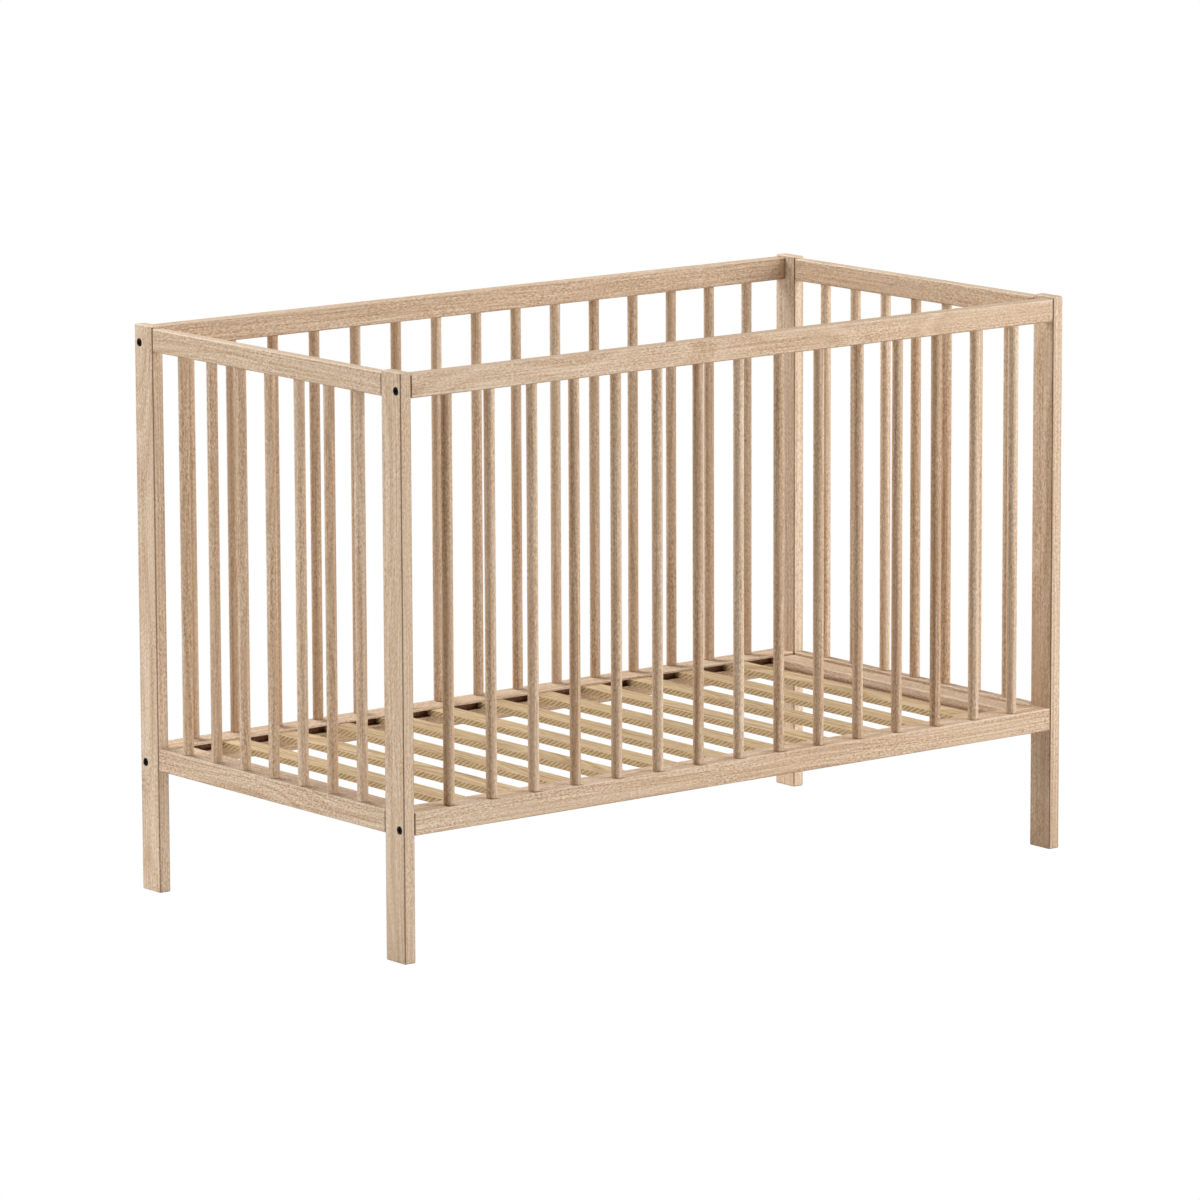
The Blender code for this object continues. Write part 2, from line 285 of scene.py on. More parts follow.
beechLook = {
    "pale": "#E7D4BD",          # light sapwood between the flecks
    "mid": "#CDB194",
    "deep": "#A27955",          # late growth and ray flecks
    "stops": (0.1, 0.5, 1.0),   # how dark each of those three is
    "edgeShade": "#6B4E35",         # painted shade on the rounded edges that face down or sideways
    "streak": "#8E6244",        # the odd red-brown mineral streak
    "ringWidthMm": 3.2,         # a year's growth
    "pithSwingMm": 70.0,        # how far the pith wanders
    # each pattern's size across and along the grain in mm, its detail and its roughness
    "wander": (400.0, 520.0, 1.0, 0.5),
    "flecks": (2.1, 5.0, 2.0, 0.6),         # real rays are 0.5 mm wide, drawn coarser so that they show
    "crowding": (45.0, 140.0, 1.0, 0.5),
    "lines": (2.2, 260.0, 2.0, 0.6),        # real pores are 0.1 mm wide, drawn coarser so that they show
    "drift": (60.0, 700.0, 1.0, 0.5),       # slow change of colour within a board
    "boards": (1500.0, 3000.0, 0.0, 0.5),   # and from one board to the next
    "streaks": (9.0, 110.0, 2.0, 0.5),
    "ringNoise": (2.0, 0.6),                # detail and roughness of the rings
    "streakWaver": 0.6,
    # the part of each pattern's values that is drawn out from nothing to full
    "fleckSpan": (0.32, 0.68),
    "crowdSpan": (0.35, 0.62),
    "grainSpan": (0.3, 0.7),
    "streakSpan": (0.70, 0.82),
    # how much of the colour each one moves
    "average": 0.47,            # where most of the wood lies between pale and deep
    "fleckShare": 0.50,
    "crowdRange": (0.6, 1.2),   # times the flecks' share, from where they are thin to where they crowd
    "ringShare": 0.20,
    "lineShare": 0.32,
    "toneShare": 0.24,
    "streakShare": 0.55,
    # how strongly the painted edge shade shows
    "edgeShadeShare": 0.72,
    "roughness": (0.50, 0.66),
    "specular": 0.25,
    "bumpStrength": 0.6,
    "bumpMm": 0.05,
}


def stretchedNoise(tree, grain, acrossMm, alongMm, detail, roughness, distortion=0.0):
    # noise drawn out along the grain, from real sizes
    scale = (mmPerMetre / acrossMm, mmPerMetre / acrossMm, mmPerMetre / alongMm)
    stretch = addNode(tree, "Mapping", {"Scale": scale}, {"Vector": grain})
    settings = {"Scale": 1.0, "Detail": detail, "Roughness": roughness, "Distortion": distortion}
    return addNode(tree, "TexNoise", settings, {"Vector": stretch.outputs["Vector"]})


def weighted(tree, value, share, onto):
    # adds share x (value - 0.5) onto a running tone
    centred = addNode(tree, "Math", {"operation": "SUBTRACT", 1: 0.5}, {0: value}).outputs[0]
    return addNode(tree, "Math", {"operation": "MULTIPLY_ADD", 1: share}, {0: centred, 2: onto}).outputs[0]


def makeTimber(name, look):
    material, tree, shader = newMaterial(name)
    grain = addNode(tree, "Attribute", {"attribute_name": "grain"}).outputs["Vector"]

    # growth rings round the pith, which wanders slowly along the log, so that flat faces show long arches
    swing = look["pithSwingMm"] / mmPerMetre
    swings = {"operation": "MULTIPLY_ADD", 1: (swing, swing, 0.0), 2: (-swing / 2, -swing / 2, 0.0)}
    wander = stretchedNoise(tree, grain, *look["wander"]).outputs["Color"]
    aside = addNode(tree, "VectorMath", swings, {0: wander}).outputs["Vector"]
    bent = addNode(tree, "VectorMath", {"operation": "ADD"}, {0: grain, 1: aside}).outputs["Vector"]
    acrossOnly = {"operation": "MULTIPLY", 1: (1, 1, 0)}
    across = addNode(tree, "VectorMath", acrossOnly, {0: bent}).outputs["Vector"]
    radius = addNode(tree, "VectorMath", {"operation": "LENGTH"}, {0: across}).outputs["Value"]
    yearly = {"operation": "MULTIPLY", 1: mmPerMetre / look["ringWidthMm"]}
    year = addNode(tree, "Math", yearly, {0: radius}).outputs[0]
    detail, roughness = look["ringNoise"]
    ringNoise = {"noise_dimensions": "1D", "Scale": 1.0, "Detail": detail, "Roughness": roughness}
    rings = addNode(tree, "TexNoise", ringNoise, {"W": year}).outputs["Fac"]
    lines = stretchedNoise(tree, grain, *look["lines"]).outputs["Fac"]

    # flecks, which crowd in some stretches and thin out in others
    flecks = stretchedNoise(tree, grain, *look["flecks"]).outputs["Fac"]
    low, high = look["fleckSpan"]
    fleckRange = {"From Min": low, "From Max": high}
    fleck = addNode(tree, "MapRange", fleckRange, {"Value": flecks}).outputs["Result"]
    centred = addNode(tree, "Math", {"operation": "SUBTRACT", 1: 0.5}, {0: fleck}).outputs[0]
    crowding = stretchedNoise(tree, grain, *look["crowding"]).outputs["Fac"]
    low, high = look["crowdSpan"]
    thin, thick = [look["fleckShare"] * part for part in look["crowdRange"]]
    crowdRange = {"From Min": low, "From Max": high, "To Min": thin, "To Max": thick}
    crowdShare = addNode(tree, "MapRange", crowdRange, {"Value": crowding}).outputs["Result"]
    dark = addNode(tree, "Math", {"operation": "MULTIPLY"}, {0: centred, 1: crowdShare}).outputs[0]

    # rings, lines and the slow changes of colour are added to them
    low, high = look["grainSpan"]
    for pattern, share in ((rings, look["ringShare"]), (lines, look["lineShare"])):
        drawnOut = addNode(tree, "MapRange", {"From Min": low, "From Max": high}, {"Value": pattern})
        dark = weighted(tree, drawnOut.outputs["Result"], share, dark)
    for pattern in ("drift", "boards"):
        noise = stretchedNoise(tree, grain, *look[pattern]).outputs["Fac"]
        dark = weighted(tree, noise, look["toneShare"], dark)

    # each piece's own figure and tone, round the average
    ownTone = addNode(tree, "Attribute", {"attribute_name": "tone"}).outputs["Fac"]
    figure = addNode(tree, "Attribute", {"attribute_name": "figure"}).outputs["Fac"]
    dark = addNode(tree, "Math", {"operation": "MULTIPLY_ADD"}, {0: dark, 1: figure, 2: ownTone}).outputs[0]
    dark = addNode(tree, "Math", {"operation": "ADD", 1: look["average"]}, {0: dark}).outputs[0]
    ramp = addNode(tree, "ValToRGB", None, {"Fac": dark})
    stops = ramp.color_ramp.elements
    paleStop, midStop, deepStop = look["stops"]
    stops[0].position, stops[0].color = paleStop, linearColour(look["pale"])
    stops[1].position, stops[1].color = deepStop, linearColour(look["deep"])
    stops.new(midStop).color = linearColour(look["mid"])

    # mineral streaks, then the painted shade of the rounded edges, over the wood's own colour
    streak = stretchedNoise(tree, grain, *look["streaks"], look["streakWaver"]).outputs["Fac"]
    low, high = look["streakSpan"]
    streakRange = {"From Min": low, "From Max": high, "To Max": look["streakShare"]}
    streakMask = addNode(tree, "MapRange", streakRange, {"Value": streak}).outputs["Result"]
    colour = addNode(tree, "Mix", {"data_type": "RGBA", 7: linearColour(look["streak"])},
                     {0: streakMask, 6: ramp.outputs["Color"]})
    edgeShade = addNode(tree, "Attribute", {"attribute_name": "edgeShade"}).outputs["Fac"]
    edgeShadeScale = {"operation": "MULTIPLY", 1: look["edgeShadeShare"]}
    edgeShadeMask = addNode(tree, "Math", edgeShadeScale, {0: edgeShade}).outputs[0]
    colour = addNode(tree, "Mix", {"data_type": "RGBA", 7: linearColour(look["edgeShade"])},
                     {0: edgeShadeMask, 6: colour.outputs[2]})
    low, high = look["roughness"]
    rough = addNode(tree, "MapRange", {"To Min": low, "To Max": high}, {"Value": fleck})
    bumpDepth = look["bumpMm"] / mmPerMetre
    bumpSettings = {"Strength": look["bumpStrength"], "Distance": bumpDepth, "invert": True}
    bump = addNode(tree, "Bump", bumpSettings, {"Height": fleck})
    tree.links.new(colour.outputs[2], shader.inputs["Base Color"])
    tree.links.new(rough.outputs["Result"], shader.inputs["Roughness"])
    tree.links.new(bump.outputs["Normal"], shader.inputs["Normal"])
    shader.inputs["Specular IOR Level"].default_value = look["specular"]
    return material


# Oiled beech, planed and sanded: pale and even, with short brown ray flecks that run with the grain
oiledBeech = makeTimber("oiledBeech", beechLook)

pineLook = dict(beechLook, pale="#E4CEA7", mid="#CEB48C", deep="#9E8056", streak="#946C3E",
                flecks=(2.2, 24.0, 2.0, 0.6), fleckShare=0.30, ringWidthMm=3.8, ringShare=0.42,
                lines=(1.8, 260.0, 2.0, 0.6), lineShare=0.5)
# Planed pine, bare: yellower than the beech, with long soft grain lines
planedPine = makeTimber("planedPine", pineLook)

grooveShadeLook = dict(beechLook, pale="#9A6B45", mid="#70482C", deep="#4A2D18", streak="#402514")
# Beech painted dark brown for the shade inside a groove, so that a groove reads as a deep slot
grooveShadeBeech = makeTimber("grooveShadeBeech", grooveShadeLook)


sawnLook = {
    "light": "#DAC198",
    "dark": "#997F58",
    "toothGapMm": 10.8,             # between the slanting marks of the saw
    "lean": 1.9,                    # how far a mark runs along the slat for its height
    "wobbleMm": 11.0,
    "wobble": (22.0, 30.0, 2.0, 0.5),   # across and along the grain in mm, detail and roughness
    "fuzz": (2.0, 7.0, 3.0, 0.7),       # torn fibres, drawn coarser than the real 0.2 mm so that they show
    "fuzzShare": 4.6,
    "markSpan": (1.5, 3.9),         # the part of marks and fuzz together that turns from light to dark
    "roughness": 0.8,
    "specular": 0.2,
    "bumpStrength": 0.7,
    "bumpMm": 0.4,
}


def makeSawnPine():
    material, tree, shader = newMaterial("sawnPine")
    grain = addNode(tree, "Attribute", {"attribute_name": "grain"}).outputs["Vector"]
    # the marks lean over the slat's edge: their phase follows height plus length
    split = addNode(tree, "SeparateXYZ", None, {"Vector": grain})
    lean = addNode(tree, "Math", {"operation": "MULTIPLY_ADD", 1: sawnLook["lean"]},
                   {0: split.outputs["Y"], 2: split.outputs["Z"]}).outputs[0]
    wobble = stretchedNoise(tree, grain, *sawnLook["wobble"]).outputs["Fac"]
    wobbled = addNode(tree, "Math", {"operation": "MULTIPLY_ADD", 1: sawnLook["wobbleMm"] / mmPerMetre},
                      {0: wobble, 2: lean}).outputs[0]
    teethPerMetre = mmPerMetre / sawnLook["toothGapMm"]
    turns = {"operation": "MULTIPLY", 1: math.tau * teethPerMetre}
    phase = addNode(tree, "Math", turns, {0: wobbled}).outputs[0]
    teeth = addNode(tree, "Math", {"operation": "SINE"}, {0: phase}).outputs[0]
    fuzz = stretchedNoise(tree, grain, *sawnLook["fuzz"]).outputs["Fac"]
    fuzzy = addNode(tree, "Math", {"operation": "MULTIPLY_ADD", 1: sawnLook["fuzzShare"]},
                    {0: fuzz, 2: teeth}).outputs[0]
    low, high = sawnLook["markSpan"]
    markRange = {"From Min": low, "From Max": high}
    mask = addNode(tree, "MapRange", markRange, {"Value": fuzzy}).outputs["Result"]
    light, dark = linearColour(sawnLook["light"]), linearColour(sawnLook["dark"])
    colour = addNode(tree, "Mix", {"data_type": "RGBA", 6: light, 7: dark}, {0: mask})
    bumpDepth = sawnLook["bumpMm"] / mmPerMetre
    bumpSettings = {"Strength": sawnLook["bumpStrength"], "Distance": bumpDepth, "invert": True}
    bump = addNode(tree, "Bump", bumpSettings, {"Height": mask})
    tree.links.new(colour.outputs[2], shader.inputs["Base Color"])
    tree.links.new(bump.outputs["Normal"], shader.inputs["Normal"])
    shader.inputs["Roughness"].default_value = sawnLook["roughness"]
    shader.inputs["Specular IOR Level"].default_value = sawnLook["specular"]
    return material


# Pine as it leaves the saw: rough and darker, with slanting tooth marks
sawnPine = makeSawnPine()


blackSteelLook = {
    "light": "#050505",
    "dark": "#0C0C0C",
    "metallic": 0.0,
    "roughness": (0.62, 0.78),
    "specular": 0.15,
    "speck": (0.8, 0.8, 3.0, 0.6),      # real crystals are under 0.1 mm, drawn coarser so that they show
    "bumpStrength": 0.3,
    "bumpMm": 0.05,
}
zincSteelLook = dict(blackSteelLook, light="#B9BBBD", dark="#9A9DA0", metallic=1.0, roughness=(0.30, 0.46),
                     specular=0.5, speck=(1.5, 1.5, 3.0, 0.6))


def makeSteel(name, look):
    material, tree, shader = newMaterial(name)
    place = addNode(tree, "TexCoord").outputs["Object"]
    speck = stretchedNoise(tree, place, *look["speck"]).outputs["Fac"]
    light, dark = linearColour(look["light"]), linearColour(look["dark"])
    colour = addNode(tree, "Mix", {"data_type": "RGBA", 6: light, 7: dark}, {0: speck})
    low, high = look["roughness"]
    rough = addNode(tree, "MapRange", {"To Min": low, "To Max": high}, {"Value": speck})
    bumpSettings = {"Strength": look["bumpStrength"], "Distance": look["bumpMm"] / mmPerMetre}
    bump = addNode(tree, "Bump", bumpSettings, {"Height": speck})
    tree.links.new(colour.outputs[2], shader.inputs["Base Color"])
    tree.links.new(rough.outputs["Result"], shader.inputs["Roughness"])
    tree.links.new(bump.outputs["Normal"], shader.inputs["Normal"])
    shader.inputs["Metallic"].default_value = look["metallic"]
    shader.inputs["Specular IOR Level"].default_value = look["specular"]
    return material


# Black phosphated steel: nearly no reflection, a little uneven
blackSteel = makeSteel("blackSteel", blackSteelLook)
# Zinc-plated steel: grey metal with a dull, cloudy shine
zincSteel = makeSteel("zincSteel", zincSteelLook)
print("materials made")


joinerySizes = {
    "play": 0.0003,
    "shoulderGap": 0.0002,    # between a rail's end and its post
    "tenonThick": 0.009,      # of the end rails, in the posts
    "tenonHigh": 0.020,
    "pegRadius": 0.004,       # of the side rails, above each bolt
    "pegAboveBolt": 0.0125,
    "shankRadius": 0.003,
}
postSizes = {
    "edgeRadius": 0.002,
    "edgeSteps": 3,
    "headRecess": 0.0058,
    "headHole": 0.0062,
    "headHoleSides": 48,
    "rimEase": 0.0011,
    "rimSteps": 2,
    "rimReach": 0.0002,             # an edge this close to the hole's radius is its rim
    "paintedEdgeLight": (-0.3, 0.6, 1.0),    # painted highlight on the edges that face up, painted shade on those that face down and sideways
    # each post's timber: how dark and how boldly figured
    "timbers": {"post_front_left": (-0.05, 0.85), "post_front_right": (0.03, 1.0),
                "post_rear_left": (-0.03, 1.2), "post_rear_right": (-0.08, 1.0)},
}


def middleOf(node):
    low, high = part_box(node)
    return (low + high) / 2


def makePost(side, end):
    node = f"post_{side}_{end}"
    low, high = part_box(node)
    post = addBlock(f"{side}{end.capitalize()}Post", low, high)
    easeEdges(post, postSizes["edgeRadius"], postSizes["edgeSteps"])
    outward, inward = cribEnds[end], -cribSides[side]
    face, inside = (high.x, low.x) if outward > 0 else (low.x, high.x)
    mouth = low.y if inward < 0 else high.y
    before, past = outward * workshop["overshoot"], workshop["clearance"]
    play = joinerySizes["play"]
    wayRadius, pegHoleRadius = joinerySizes["shankRadius"] + play, joinerySizes["pegRadius"] + play
    headHole = postSizes["headHole"]
    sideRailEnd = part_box(f"side_upper_rail_{side}")[1].x
    spots = []
    for level in ("upper", "lower"):
        # the bolt's way through, a recess for its head and a hole for the side rail's peg
        bolt = middleOf(f"bolt_{level}_{side}_{end}")
        y, z = bolt.y, bolt.z
        spots.append((y, z))
        cutAway(post, addRod("way", wayRadius, (face + before, y, z), (inside - before, y, z)))
        bottom = face - outward * postSizes["headRecess"]
        cutAway(post, addRod("recess", headHole, (bottom, y, z), (face + before, y, z),
                             postSizes["headHoleSides"]))
        easeEdges(post, postSizes["rimEase"], postSizes["rimSteps"], lambda edge: all(
            abs(v.co.x - face) < workshop["near"]
            and abs(math.hypot(v.co.y - y, v.co.z - z) - headHole) < postSizes["rimReach"]
            for v in edge.verts))
        pegZ = z + joinerySizes["pegAboveBolt"]
        pegEnd = outward * (sideRailEnd + past)
        cutAway(post, addRod("pegHole", pegHoleRadius, (inside - before, y, pegZ), (pegEnd, y, pegZ)))
        # and a mortise for the end rail's tenon
        endRail = f"end_{level}_rail_{end}"
        middle = middleOf(endRail)
        mortiseStart = mouth + inward * workshop["overshoot"]
        mortiseEnd = -inward * (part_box(endRail)[1].y + past)
        halfThick, halfHigh = joinerySizes["tenonThick"] / 2 + play, joinerySizes["tenonHigh"] / 2 + play
        cutAway(post, addBlock("mortise", (middle.x - halfThick, mortiseStart, middle.z - halfHigh),
                               (middle.x + halfThick, mortiseEnd, middle.z + halfHigh)))
    tidyMesh(post)
    layGrain(post, "Z", *postSizes["timbers"][node])
    # painted shade and highlight on the rounded edges
    paintEdgeLight(post, *postSizes["paintedEdgeLight"])
    # a painted highlight ring round each bolt head's recess
    paintRimHighlights(post, face, spots, headHole + 2 * postSizes["rimEase"])
    finishPiece(post, [node], oiledBeech)


for side in cribSides:
    for end in cribEnds:
        makePost(side, end)
print("posts made")


spindleSizes = {
    "roundSides": 32,
    "shoulderEase": 0.0008,
    "shoulderSteps": 2,
    "tenonRadius": 0.005,
    "tenonLength": 0.012,
    "tones": (-0.02, 0.18),    # the palest and the darkest bar
    "inEnd": 7,
    "inSide": 15,
    "fromPost": 0.0696,        # from the first bar of a long side to the post
}


def makeSpindle(radius, low, high):
    # a round bar whose caps are inset and drawn out into tenons
    spindle = addRod("spindle", radius, (0, 0, low), (0, 0, high), spindleSizes["roundSides"])
    easeEdges(spindle, spindleSizes["shoulderEase"], spindleSizes["shoulderSteps"],
              lambda edge: abs(edge.verts[0].co.z - edge.verts[1].co.z) < workshop["near"])
    inset = radius - spindleSizes["shoulderEase"] - spindleSizes["tenonRadius"]
    for sign in (-1, 1):
        drawOutFace(spindle, lambda face: face.normal.z * sign > workshop["facing"], inset,
                    (0, 0, sign * spindleSizes["tenonLength"]))
    tidyMesh(spindle)
    return spindle


def endBarSpots(end):
    middles = [middleOf(f"end_spindle_{end}_{number + 1}") for number in range(spindleSizes["inEnd"])]
    return [(middle.x, middle.y) for middle in middles]


def sideBarSpots(side):
    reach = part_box(f"post_{side}_right")[0].x - spindleSizes["fromPost"]
    gaps = spindleSizes["inSide"] - 1
    y = middleOf(f"side_upper_rail_{side}").y
    return [(-reach + 2 * reach * number / gaps, y) for number in range(spindleSizes["inSide"])]


def standSpindle(name, node, spot):
    spindle = copyPiece(spindlePattern, name, (*spot, 0))
    layGrain(spindle, "Z", timberPicker.uniform(*spindleSizes["tones"]))
    finishPiece(spindle, [node], oiledBeech)


endLow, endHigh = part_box("end_spindle_left_1")
tenon = spindleSizes["tenonLength"]
spindlePattern = makeSpindle((endHigh.x - endLow.x) / 2, endLow.z + tenon, endHigh.z - tenon)
for end in cribEnds:
    for number, spot in enumerate(endBarSpots(end), 1):
        standSpindle(f"{end}EndSpindle{number}", f"end_spindle_{end}_{number}", spot)
for side in cribSides:
    for number, spot in enumerate(sideBarSpots(side), 1):
        standSpindle(f"{side}SideSpindle{number}", f"side_lower_rail_{side}_with_spindles", spot)
bpy.data.objects.remove(spindlePattern)
print("spindles made")


railSizes = {
    "edgeRadius": 0.002,
    "edgeSteps": 3,
    "boreRadius": 0.0053,       # for the spindles' tenons, and for the barrel nuts
    "boreDepth": 0.0125,
    # painted highlight on the edges that face up, painted shade on those that face down and sideways
    "paintedEdgeLight": (-0.35, 0.6, 0.9),
    "timbers": {"front upper": (0.08, 1.0), "front lower": (0.06, 1.2),
                "rear upper": (0.05, 1.1), "rear lower": (0.0, 1.1),
                "left upper": (-0.04, 1.0), "left lower": (-0.06, 1.4),
                "right upper": (0.01, 1.0), "right lower": (-0.06, 1.1)},
}


def drillFor(rail, spots, face, inward, depth):
    # blind bores that start at the height of a face and go up (1) or down (-1) into the rail
    start, bottom = face - inward * workshop["overshoot"], face + inward * depth
    drills = [addRod("drill", railSizes["boreRadius"], (x, y, start), (x, y, bottom)) for x, y in spots]
    cutAway(rail, joinUp(drills, "drills"))


def addTongues(piece, name, shoulder, tip, low, high):
    # a tongue along Y at each end of a piece, between low and high in X and Z
    for sign in (-1, 1):
        start = sign * (shoulder - workshop["root"])
        fuseTo(piece, addBlock(name, (low[0], start, low[1]), (high[0], sign * tip, high[1])))


def finishFramePiece(piece, node, along, timber=()):
    tidyMesh(piece)
    layGrain(piece, along, *timber)
    # painted shade and highlight on the rounded edges
    paintEdgeLight(piece, *railSizes["paintedEdgeLight"])
    finishPiece(piece, [node], oiledBeech)


for end in cribEnds:
    for level in ("upper", "lower"):
        node = f"end_{level}_rail_{end}"
        low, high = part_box(node)
        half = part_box(f"post_rear_{end}")[0].y - joinerySizes["shoulderGap"]
        rail = addBlock(f"{end}End{level.capitalize()}Rail", (low.x, -half, low.z), (high.x, half, high.z))
        easeEdges(rail, railSizes["edgeRadius"], railSizes["edgeSteps"])
        middle = (low + high) / 2
        halfThick, halfHigh = joinerySizes["tenonThick"] / 2, joinerySizes["tenonHigh"] / 2
        addTongues(rail, "tenon", half, high.y, (middle.x - halfThick, middle.z - halfHigh),
                   (middle.x + halfThick, middle.z + halfHigh))
        face, inward = (low.z, 1) if level == "upper" else (high.z, -1)
        drillFor(rail, endBarSpots(end), face, inward, railSizes["boreDepth"])
        finishFramePiece(rail, node, "Y", railSizes["timbers"][f"{end} {level}"])

for side in cribSides:
    outerLow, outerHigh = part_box(f"side_upper_rail_{side}")
    middleY = (outerLow.y + outerHigh.y) / 2
    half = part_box(f"post_{side}_right")[0].x - joinerySizes["shoulderGap"]
    for level, ending in (("upper", ""), ("lower", "_with_spindles")):
        node = f"side_{level}_rail_{side}{ending}"
        bottom, top = [corner.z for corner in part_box(f"end_{level}_rail_left")]
        rail = addBlock(f"{side}Side{level.capitalize()}Rail",
                        (-half, outerLow.y, bottom), (half, outerHigh.y, top))
        easeEdges(rail, railSizes["edgeRadius"], railSizes["edgeSteps"])
        face, inward = (bottom, 1) if level == "upper" else (top, -1)
        drillFor(rail, sideBarSpots(side), face, inward, railSizes["boreDepth"])
        for end, outward in cribEnds.items():
            # at each end a peg, a bore for the bolt and a cross bore from below for its barrel nut
            boltLow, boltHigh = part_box(f"bolt_{level}_{side}_{end}")
            nutLow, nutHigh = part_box(f"barrel_nut_{level}_{side}_{end}")
            boltZ = (boltLow.z + boltHigh.z) / 2
            pegZ = boltZ + joinerySizes["pegAboveBolt"]
            tip = boltHigh.x if outward < 0 else boltLow.x
            fuseTo(rail, addRod("peg", joinerySizes["pegRadius"],
                                (outward * (half - workshop["root"]), middleY, pegZ),
                                (outward * outerHigh.x, middleY, pegZ)))
            cutAway(rail, addRod("boltBore", joinerySizes["shankRadius"] + joinerySizes["play"],
                                 (outward * (half + workshop["overshoot"]), middleY, boltZ),
                                 (tip - outward * workshop["clearance"], middleY, boltZ)))
            drillFor(rail, [((nutLow.x + nutHigh.x) / 2, middleY)], bottom, 1,
                     nutHigh.z - bottom + joinerySizes["play"])
        finishFramePiece(rail, node, "X", railSizes["timbers"][f"{side} {level}"])
print("rails made")


baseSizes = {
    "edgeRadius": 0.002,
    "edgeSteps": 3,
    "grooveHeight": 0.010,
    "grooveDepth": 0.010,
    "grooveStart": 0.0001,       # a face this deep counts as inside the groove
    "endFacing": 0.9,            # and one with its normal this far along X is the rail's end
    "tongueHalf": 0.0045,
    "boardLip": 0.0096,          # of the end boards, above the groove in their inner face
    "boardGrooveHeight": 0.0066,
    "boardGrooveDepth": 0.005,
    "slats": 11,
    "slatEase": 0.0006,
    "slatSteps": 2,
    "slatSmoothDegrees": 30,
    "slatFigure": 1.25,
    "sawnFacing": 0.8,           # a slat's face with its normal this far along X was left sawn
}
grooveMiddle = middleOf("base_slat_01").z
halfGroove = baseSizes["grooveHeight"] / 2
beyond = workshop["overshoot"]

for side, outward in cribSides.items():
    node = f"base_rail_{side}"
    low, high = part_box(node)
    rail = addBlock(f"{side}BaseRail", low, high)
    easeEdges(rail, baseSizes["edgeRadius"], baseSizes["edgeSteps"])
    inner = low.y if outward > 0 else high.y
    grooveFloor = inner + outward * baseSizes["grooveDepth"]
    cutAway(rail, addBlock("groove", (low.x - beyond, inner - outward * beyond, grooveMiddle - halfGroove),
                           (high.x + beyond, grooveFloor, grooveMiddle + halfGroove)))
    finishFramePiece(rail, node, "X")
    # the groove's inner faces get the dark beech as painted shade
    rail.data.materials.append(grooveShadeBeech)
    for face in rail.data.polygons:
        depth = (face.center.y - inner) * outward
        deepEnough = baseSizes["grooveStart"] < depth < baseSizes["grooveDepth"] + workshop["near"]
        levelWith = abs(face.center.z - grooveMiddle) < halfGroove + workshop["near"]
        if deepEnough and levelWith and abs(face.normal.x) < baseSizes["endFacing"]:
            face.material_index = 1

for end, outward in cribEnds.items():
    node = f"base_end_board_{end}"
    low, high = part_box(node)
    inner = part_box("base_rail_rear")[0].y - joinerySizes["play"]
    board = addBlock(f"{end}EndBoard", (low.x, -inner, low.z), (high.x, inner, high.z))
    easeEdges(board, baseSizes["edgeRadius"], baseSizes["edgeSteps"])
    face = low.x if outward > 0 else high.x
    grooveTop = high.z - baseSizes["boardLip"]
    grooveBottom = grooveTop - baseSizes["boardGrooveHeight"]
    cutAway(board, addBlock("groove", (face - outward * beyond, -inner - beyond, grooveBottom),
                            (face + outward * baseSizes["boardGrooveDepth"], inner + beyond, grooveTop)))
    # a tongue at each end slides in the base rail's groove
    addTongues(board, "tongue", inner, high.y,
               (low.x + baseSizes["edgeRadius"], grooveMiddle - baseSizes["tongueHalf"]),
               (high.x - baseSizes["edgeRadius"], grooveMiddle + baseSizes["tongueHalf"]))
    finishFramePiece(board, node, "Y")

for number in range(1, baseSizes["slats"] + 1):
    node = f"base_slat_{number:02d}"
    slat = addBlock(f"slat{number}", *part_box(node))
    easeEdges(slat, baseSizes["slatEase"], baseSizes["slatSteps"])
    tidyMesh(slat, baseSizes["slatSmoothDegrees"])
    layGrain(slat, "Y", figure=baseSizes["slatFigure"])
    finishPiece(slat, [node], planedPine)
    slat.data.materials.append(sawnPine)
    for face in slat.data.polygons:
        face.material_index = 1 if abs(face.normal.x) > baseSizes["sawnFacing"] else 0
print("base made")


boltSizes = {
    "roundSides": 48,
    "headHeight": 0.005,
    "headEase": 0.0006,
    "headSteps": 2,
    "socketSides": 6,
    "socketRadius": 0.0026,
    "socketDepth": 0.0025,
    "smoothDegrees": 35,
}


def makeBolt(headRadius, shankRadius, length):
    # head face at x = 0 looking along -X, the shank going along +X
    headHeight = boltSizes["headHeight"]
    bolt = addRod("bolt", headRadius, (headHeight, 0, 0), (0, 0, 0), boltSizes["roundSides"])
    drawOutFace(bolt, lambda face: face.normal.x > workshop["facing"], headRadius - shankRadius,
                (length - headHeight, 0, 0))
    easeEdges(bolt, boltSizes["headEase"], boltSizes["headSteps"],
              lambda edge: all(abs(v.co.x) < workshop["near"] for v in edge.verts))
    cutAway(bolt, addRod("socket", boltSizes["socketRadius"], (-workshop["overshoot"], 0, 0),
                         (boltSizes["socketDepth"], 0, 0), boltSizes["socketSides"]))
    tidyMesh(bolt, boltSizes["smoothDegrees"])
    return bolt


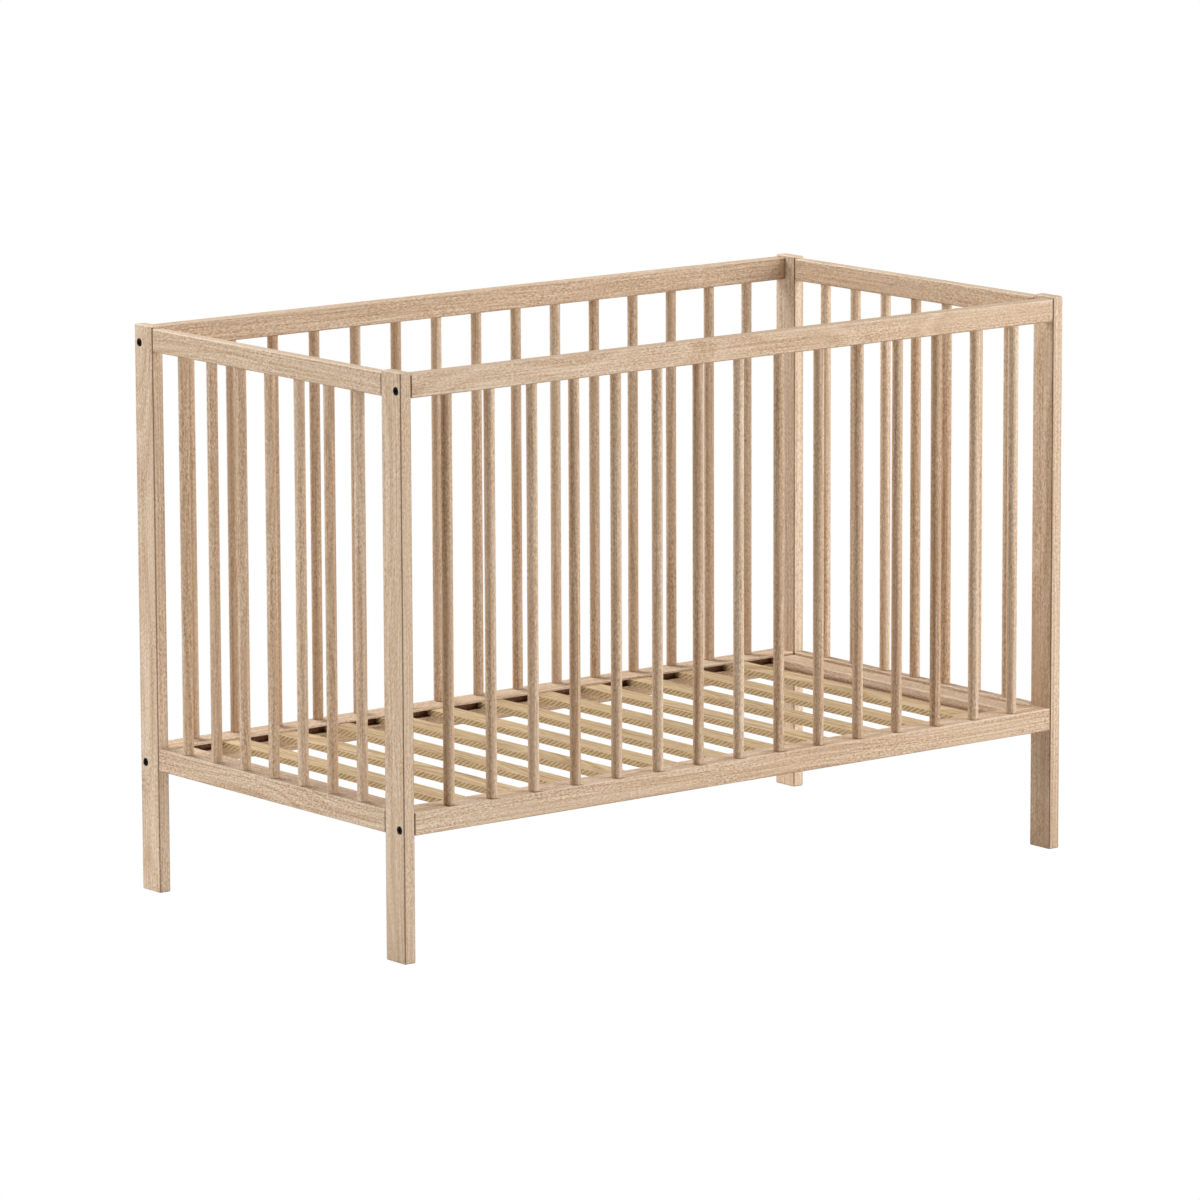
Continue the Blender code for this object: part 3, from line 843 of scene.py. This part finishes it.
boltLow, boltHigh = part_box("bolt_upper_front_left")
boltPattern = makeBolt((boltHigh.y - boltLow.y) / 2, joinerySizes["shankRadius"], boltHigh.x - boltLow.x)
for level in ("upper", "lower"):
    for side in cribSides:
        for end, outward in cribEnds.items():
            node = f"bolt_{level}_{side}_{end}"
            low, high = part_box(node)
            place = (low.x if outward < 0 else high.x, (low.y + high.y) / 2, (low.z + high.z) / 2)
            bolt = copyPiece(boltPattern, f"{level}{side.capitalize()}{end.capitalize()}Bolt", place,
                             0.0 if outward < 0 else math.pi)
            finishPiece(bolt, [node], blackSteel)
            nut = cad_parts[f"barrel_nut_{level}_{side}_{end}"]
            nut.data.materials.clear()
            nut.data.materials.append(zincSteel)
bpy.data.objects.remove(boltPattern)
print("bolts made")


viewer = {
    "place": (-6.5230, -8.2488, 2.3027),
    "turnDegrees": (79.7907, 0.2195, -38.3335),
    "lensMm": 214.81,
    "sensorMm": 36,
    "farthest": 100,
}
cameraData = bpy.data.cameras.new("camera")
cameraData.sensor_width = viewer["sensorMm"]
cameraData.lens = viewer["lensMm"]
cameraData.clip_end = viewer["farthest"]
camera = bpy.data.objects.new("camera", cameraData)
bpy.context.scene.collection.objects.link(camera)
camera.location = viewer["place"]
camera.rotation_euler = [math.radians(turn) for turn in viewer["turnDegrees"]]
bpy.context.scene.camera = camera


studio = {
    "white": "#FFFFFF",
    "floorColour": "#F4F3F1",
    "floorRoughness": 0.9,
    "floorSize": 30.0,
    "floorHeight": -0.0003,
    "floorGlow": 1.0,
    "ambient": 0.05,
    "aimHeight": 0.4,         # the middle of the crib, which the soft boxes face
    "softBoxes": {            # degrees from the camera's side, distance, height, size, watts
        "backHigh": (-135, 3.21, 4.23, 2.5, 258.0),
        "rightHigh": (90, 3.21, 4.23, 2.5, 53.0),
        "left": (-60, 4.89, 1.44, 2.5, 95.0),
        "right": (75, 7.5, 1.9, 3.6, 414.0),
    },
}

clearSelection()
bpy.ops.mesh.primitive_plane_add(size=studio["floorSize"], location=(0, 0, studio["floorHeight"]))
floor = bpy.context.object
floor.name = "floor"
floorMaterial, floorTree, floorShader = newMaterial("palePaintedFloor")
floorShader.inputs["Base Color"].default_value = linearColour(studio["floorColour"])
floorShader.inputs["Roughness"].default_value = studio["floorRoughness"]
# to the camera the floor is one even white, while the crib is lit by what really falls on it
white = linearColour(studio["white"])
seen = addNode(floorTree, "LightPath").outputs["Is Camera Ray"]
evenWhite = addNode(floorTree, "Emission", {"Color": white, "Strength": studio["floorGlow"]})
floorLook = addNode(floorTree, "MixShader", None,
                    {0: seen, 1: floorShader.outputs[0], 2: evenWhite.outputs[0]})
floorTree.links.new(floorLook.outputs[0], floorTree.nodes["Material Output"].inputs["Surface"])
floor.data.materials.append(floorMaterial)

# the sky is a weak white light on the crib, and full white to the camera
world = bpy.data.worlds.new("studio")
bpy.context.scene.world = world
world.use_nodes = True
background = world.node_tree.nodes["Background"]
background.inputs["Color"].default_value = white
seen = addNode(world.node_tree, "LightPath").outputs["Is Camera Ray"]
skyShares = {"operation": "MULTIPLY_ADD", 1: 1 - studio["ambient"], 2: studio["ambient"]}
sky = addNode(world.node_tree, "Math", skyShares, {0: seen})
world.node_tree.links.new(sky.outputs[0], background.inputs["Strength"])

# square soft boxes aimed at the middle of the crib
aim = Vector((0, 0, studio["aimHeight"]))
cameraSide = math.atan2(viewer["place"][1], viewer["place"][0])
for name, (degrees, distance, height, size, watts) in studio["softBoxes"].items():
    lamp = bpy.data.lights.new(name + "SoftBox", "AREA")
    lamp.size = size
    lamp.energy = watts
    softBox = bpy.data.objects.new(name + "SoftBox", lamp)
    bpy.context.scene.collection.objects.link(softBox)
    towards = cameraSide + math.radians(degrees)
    softBox.location = (distance * math.cos(towards), distance * math.sin(towards), height)
    softBox.rotation_euler = (aim - softBox.location).to_track_quat("-Z", "Y").to_euler()
bpy.context.scene.view_settings.view_transform = "Standard"
print("studio made")
